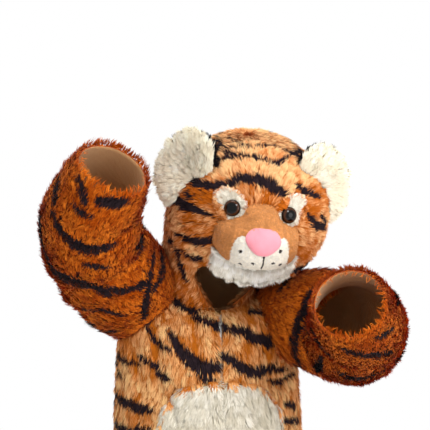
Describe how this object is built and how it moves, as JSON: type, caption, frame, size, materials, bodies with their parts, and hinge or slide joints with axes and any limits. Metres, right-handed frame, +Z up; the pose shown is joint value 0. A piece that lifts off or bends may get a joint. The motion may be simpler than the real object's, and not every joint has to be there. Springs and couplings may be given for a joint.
{
  "type": "tiger costume",
  "caption": "Hooded plush jumpsuit made up as a tiger, with ears, muzzle, belly patch and front zip, held hollow in its worn form with both arms raised.",
  "frame": {"origin": "base of the neck, in the middle between the shoulders", "axes": "+Z up, the garment's front looks along -Y, +X towards the wearer's left"},
  "size_m": [0.5369, 0.4405, 1.0595],
  "materials": {
    "body_plush": "long orange plush with black stripes",
    "sleeve_plush": "long deep orange plush with black stripes",
    "hood_plush": "orange plush with black stripes",
    "cream_plush": "long cream plush",
    "black_plush": "black plush",
    "white_plush": "white plush",
    "brown_velour": "short brown pile",
    "white_velour": "short white pile",
    "pink_velour": "short pink pile",
    "eye_plastic": "glossy dark plastic",
    "zip_tape": "woven tape with a coil of teeth",
    "zip_metal": "grey metal"
  },
  "bodies": {
    "suit": {"front_left": "body_plush", "front_right": "body_plush", "back_left": "body_plush", "back_right": "body_plush", "sleeve_left": "sleeve_plush", "sleeve_right": "sleeve_plush", "hood_gusset": "hood_plush", "hood_side_left": "hood_plush", "hood_side_right": "hood_plush", "ear_front_left": "cream_plush", "ear_front_right": "cream_plush", "belly_patch_left": "cream_plush", "belly_patch_right": "cream_plush", "ear_back_left": "black_plush", "ear_back_right": "black_plush", "eye_patch_left": "white_plush", "eye_patch_right": "white_plush", "chin_ruff": "white_plush", "muzzle_top": "brown_velour", "muzzle_lower": "white_velour", "nose": "pink_velour", "eye_left": "eye_plastic", "eye_right": "eye_plastic", "zip_tape_left": "zip_tape", "zip_tape_right": "zip_tape", "zip_slider": "zip_metal"},
    "pull_tab": {"zip_pull": "zip_metal"}
  },
  "joints": [
    {"name": "pull_tab_turn", "type": "hinge", "parent": "suit", "child": "pull_tab", "pos_m": [0, -0.0915, -0.068], "axis": [-1, 0, 0], "range_deg": [0, 140]}
  ]
}
